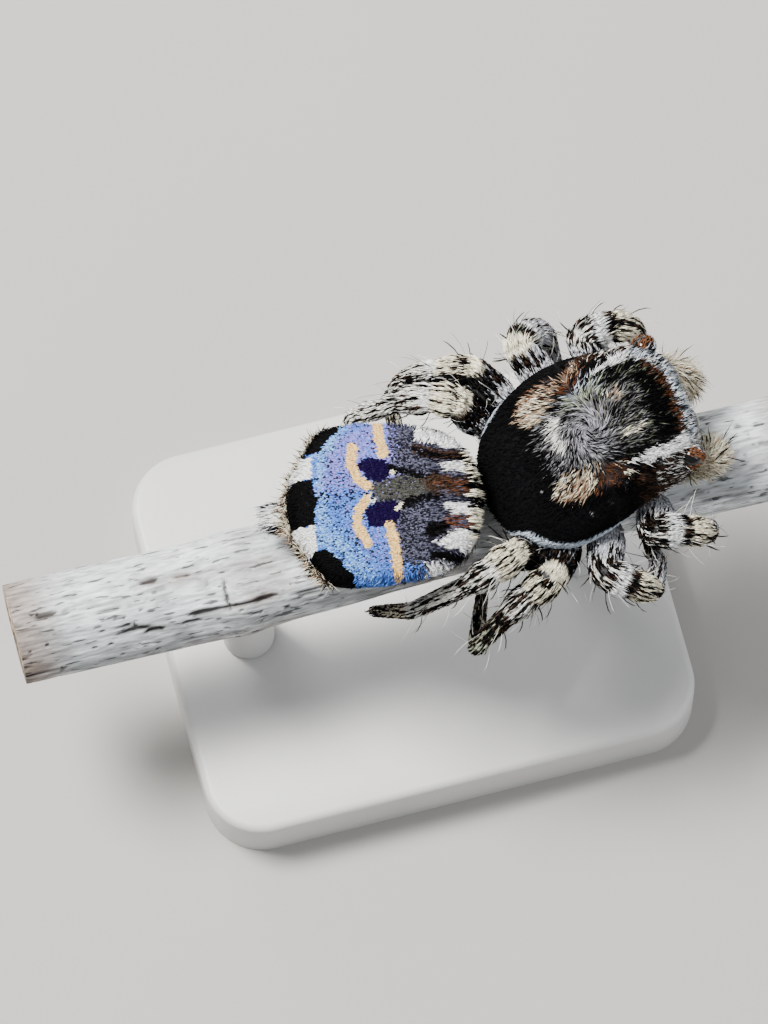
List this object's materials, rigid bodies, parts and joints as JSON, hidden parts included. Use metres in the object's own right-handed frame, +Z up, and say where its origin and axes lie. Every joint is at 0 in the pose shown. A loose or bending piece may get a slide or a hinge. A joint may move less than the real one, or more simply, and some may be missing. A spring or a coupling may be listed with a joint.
{
  "type": "peacock spider model on a twig perch",
  "caption": "Life-size still model of a male peacock spider gripping a cut length of weathered twig, on a small flat display stand.",
  "frame": {"origin": "middle of the flat underside of the stand's base, on the surface it rests on", "axes": "+X along the twig towards the spider's head, +Y to the spider's left, +Z up"},
  "size_m": [0.0082, 0.0042, 0.0044],
  "materials": {
    "shield_hair": "short black velvety hair with white, cream and rust bands",
    "cuticle": "dark brown horny skin, satin",
    "body_hair": "grey-brown short hair",
    "plate_scales": "fine blue and lilac scales with cream, white and black marks, slight sheen",
    "pale_hair": "cream hair",
    "leg_hair": "cream and black streaked hair",
    "eye": "glossy black lens",
    "bark": "weathered grey bark",
    "stand": "smooth warm white, satin"
  },
  "bodies": {
    "root": {"carapace": "shield_hair", "underside": "cuticle", "pedicel": "cuticle", "abdomen": "body_hair", "fan_plate": "plate_scales", "spinnerets": "body_hair", "jaw_l": "cuticle", "jaw_r": "cuticle", "palp_arm_l": "pale_hair", "palp_arm_r": "pale_hair", "palp_bulb_l": "pale_hair", "palp_bulb_r": "pale_hair", "eye_front_middle_l": "eye", "eye_front_middle_r": "eye", "eye_front_side_l": "eye", "eye_front_side_r": "eye", "eye_small_l": "eye", "eye_small_r": "eye", "eye_rear_l": "eye", "eye_rear_r": "eye", "leg_l1_femur": "leg_hair", "leg_l1_patella": "leg_hair", "leg_l1_tibia": "leg_hair", "leg_l1_foot": "leg_hair", "leg_l2_femur": "leg_hair", "leg_l2_patella": "leg_hair", "leg_l2_tibia": "leg_hair", "leg_l2_foot": "leg_hair", "leg_l3_femur": "leg_hair", "leg_l3_patella": "leg_hair", "leg_l3_tibia": "leg_hair", "leg_l3_foot": "leg_hair", "leg_l4_femur": "leg_hair", "leg_l4_patella": "leg_hair", "leg_l4_tibia": "leg_hair", "leg_l4_foot": "leg_hair", "leg_r1_femur": "leg_hair", "leg_r1_patella": "leg_hair", "leg_r1_tibia": "leg_hair", "leg_r1_foot": "leg_hair", "leg_r2_femur": "leg_hair", "leg_r2_patella": "leg_hair", "leg_r2_tibia": "leg_hair", "leg_r2_foot": "leg_hair", "leg_r3_femur": "leg_hair", "leg_r3_patella": "leg_hair", "leg_r3_tibia": "leg_hair", "leg_r3_foot": "leg_hair", "leg_r4_femur": "leg_hair", "leg_r4_patella": "leg_hair", "leg_r4_tibia": "leg_hair", "leg_r4_foot": "leg_hair", "twig": "bark", "stand_base": "stand", "stand_rod_a": "stand", "stand_rod_b": "stand"}
  },
  "joints": []
}
